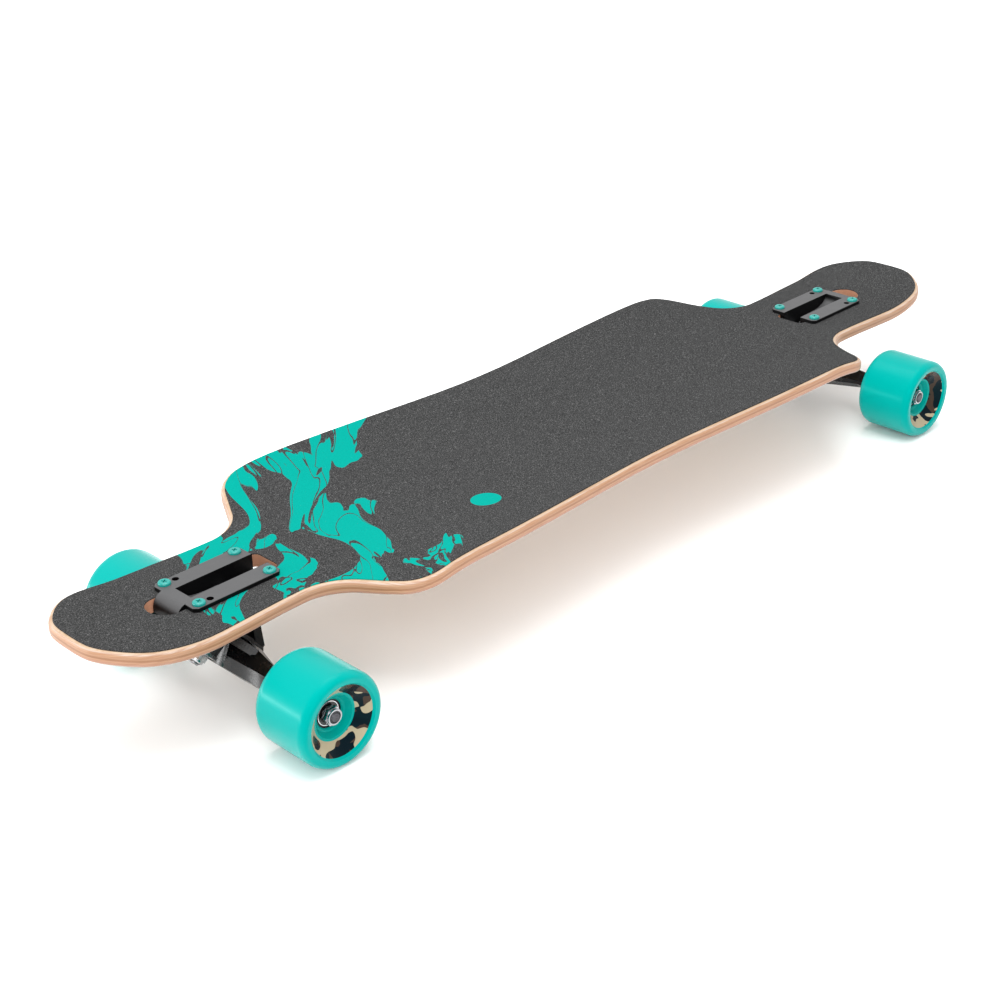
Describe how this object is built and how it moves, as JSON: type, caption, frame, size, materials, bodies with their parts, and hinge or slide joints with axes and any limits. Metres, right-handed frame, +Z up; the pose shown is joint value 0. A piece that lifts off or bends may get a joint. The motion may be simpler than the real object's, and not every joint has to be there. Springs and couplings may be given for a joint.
{
  "type": "drop-through longboard skateboard",
  "caption": "Drop-through longboard with a concave waisted deck, gripped top, reverse-kingpin trucks and wide urethane wheels on ball bearings.",
  "frame": {"origin": "on the floor, under the middle of the deck", "axes": "+X along the board towards the rear truck, +Y to the left when looking along +X, +Z up"},
  "size_m": [0.991, 0.268, 0.111],
  "materials": {
    "maple": "clear lacquered maple plies",
    "grip": "gritty tape with a printed teal marbled end",
    "baseplate_metal": "satin black",
    "black_cast": "gloss black powder coat",
    "zinc": "bright zinc plate",
    "axle_steel": "ground steel",
    "bearing_steel": "polished",
    "shield": "black shield",
    "cage": "moulded",
    "bushing": "cast urethane",
    "pivot_cup": "cast urethane",
    "teal_screws": "teal coated",
    "urethane": "smooth teal urethane",
    "core": "teal nylon"
  },
  "bodies": {
    "board": {"deck": "maple", "grip_tape": "grip", "front_baseplate": "baseplate_metal", "front_kingpin": "zinc", "front_kingpin_nut": "zinc", "front_board_cup_washer": "zinc", "front_board_bushing": "bushing", "front_road_bushing": "bushing", "front_road_cup_washer": "zinc", "front_pivot_cup": "pivot_cup", "front_mounting_bolts": "teal_screws", "front_mounting_nuts": "zinc", "rear_baseplate": "baseplate_metal", "rear_kingpin": "zinc", "rear_kingpin_nut": "zinc", "rear_board_cup_washer": "zinc", "rear_board_bushing": "bushing", "rear_road_bushing": "bushing", "rear_road_cup_washer": "zinc", "rear_pivot_cup": "pivot_cup", "rear_mounting_bolts": "teal_screws", "rear_mounting_nuts": "zinc"},
    "front_hanger_body": {"front_hanger": "black_cast", "front_axle": "axle_steel", "front_axle_nuts": "zinc", "front_speed_washers": "zinc", "front_bearing_spacers": "zinc", "front_inner_races": "bearing_steel"},
    "front_left_wheel": {"front_left_tyre": "urethane", "front_left_core": "core", "front_left_outer_races": "bearing_steel", "front_left_shields": "shield"},
    "front_left_bearing_cages": {"front_left_balls": "bearing_steel", "front_left_cages": "cage"},
    "front_right_wheel": {"front_right_tyre": "urethane", "front_right_core": "core", "front_right_outer_races": "bearing_steel", "front_right_shields": "shield"},
    "front_right_bearing_cages": {"front_right_balls": "bearing_steel", "front_right_cages": "cage"},
    "rear_hanger_body": {"rear_hanger": "black_cast", "rear_axle": "axle_steel", "rear_axle_nuts": "zinc", "rear_speed_washers": "zinc", "rear_bearing_spacers": "zinc", "rear_inner_races": "bearing_steel"},
    "rear_left_wheel": {"rear_left_tyre": "urethane", "rear_left_core": "core", "rear_left_outer_races": "bearing_steel", "rear_left_shields": "shield"},
    "rear_left_bearing_cages": {"rear_left_balls": "bearing_steel", "rear_left_cages": "cage"},
    "rear_right_wheel": {"rear_right_tyre": "urethane", "rear_right_core": "core", "rear_right_outer_races": "bearing_steel", "rear_right_shields": "shield"},
    "rear_right_bearing_cages": {"rear_right_balls": "bearing_steel", "rear_right_cages": "cage"}
  },
  "joints": [
    {"name": "front_truck_steer", "type": "hinge", "parent": "board", "child": "front_hanger_body", "pos_m": [-0.3749, 0, 0.0611], "axis": [-0.6428, 0, 0.766], "range_deg": [-10, 10], "stiffness_Nm_per_rad": 60, "deforming": ["front_board_bushing", "front_road_bushing"]},
    {"name": "front_left_wheel_spin", "type": "hinge", "parent": "front_hanger_body", "child": "front_left_wheel", "pos_m": [-0.3678, 0.105, 0.037], "axis": [0, 1, 0], "continuous": true},
    {"name": "front_left_bearing_cages_spin", "type": "hinge", "parent": "front_hanger_body", "child": "front_left_bearing_cages", "pos_m": [-0.3678, 0.105, 0.037], "axis": [0, 1, 0], "continuous": true},
    {"name": "front_right_wheel_spin", "type": "hinge", "parent": "front_hanger_body", "child": "front_right_wheel", "pos_m": [-0.3678, -0.105, 0.037], "axis": [0, 1, 0], "continuous": true},
    {"name": "front_right_bearing_cages_spin", "type": "hinge", "parent": "front_hanger_body", "child": "front_right_bearing_cages", "pos_m": [-0.3678, -0.105, 0.037], "axis": [0, 1, 0], "continuous": true},
    {"name": "rear_truck_steer", "type": "hinge", "parent": "board", "child": "rear_hanger_body", "pos_m": [0.3749, 0, 0.0611], "axis": [0.6428, 0, 0.766], "range_deg": [-10, 10], "stiffness_Nm_per_rad": 60, "deforming": ["rear_board_bushing", "rear_road_bushing"]},
    {"name": "rear_left_wheel_spin", "type": "hinge", "parent": "rear_hanger_body", "child": "rear_left_wheel", "pos_m": [0.3678, 0.105, 0.037], "axis": [0, 1, 0], "continuous": true},
    {"name": "rear_left_bearing_cages_spin", "type": "hinge", "parent": "rear_hanger_body", "child": "rear_left_bearing_cages", "pos_m": [0.3678, 0.105, 0.037], "axis": [0, 1, 0], "continuous": true},
    {"name": "rear_right_wheel_spin", "type": "hinge", "parent": "rear_hanger_body", "child": "rear_right_wheel", "pos_m": [0.3678, -0.105, 0.037], "axis": [0, 1, 0], "continuous": true},
    {"name": "rear_right_bearing_cages_spin", "type": "hinge", "parent": "rear_hanger_body", "child": "rear_right_bearing_cages", "pos_m": [0.3678, -0.105, 0.037], "axis": [0, 1, 0], "continuous": true}
  ],
  "couplings": [
    {"joint": "front_left_bearing_cages_spin", "follows": "front_left_wheel_spin", "ratio": 0.6323},
    {"joint": "front_right_bearing_cages_spin", "follows": "front_right_wheel_spin", "ratio": 0.6323},
    {"joint": "rear_left_bearing_cages_spin", "follows": "rear_left_wheel_spin", "ratio": 0.6323},
    {"joint": "rear_right_bearing_cages_spin", "follows": "rear_right_wheel_spin", "ratio": 0.6323}
  ]
}
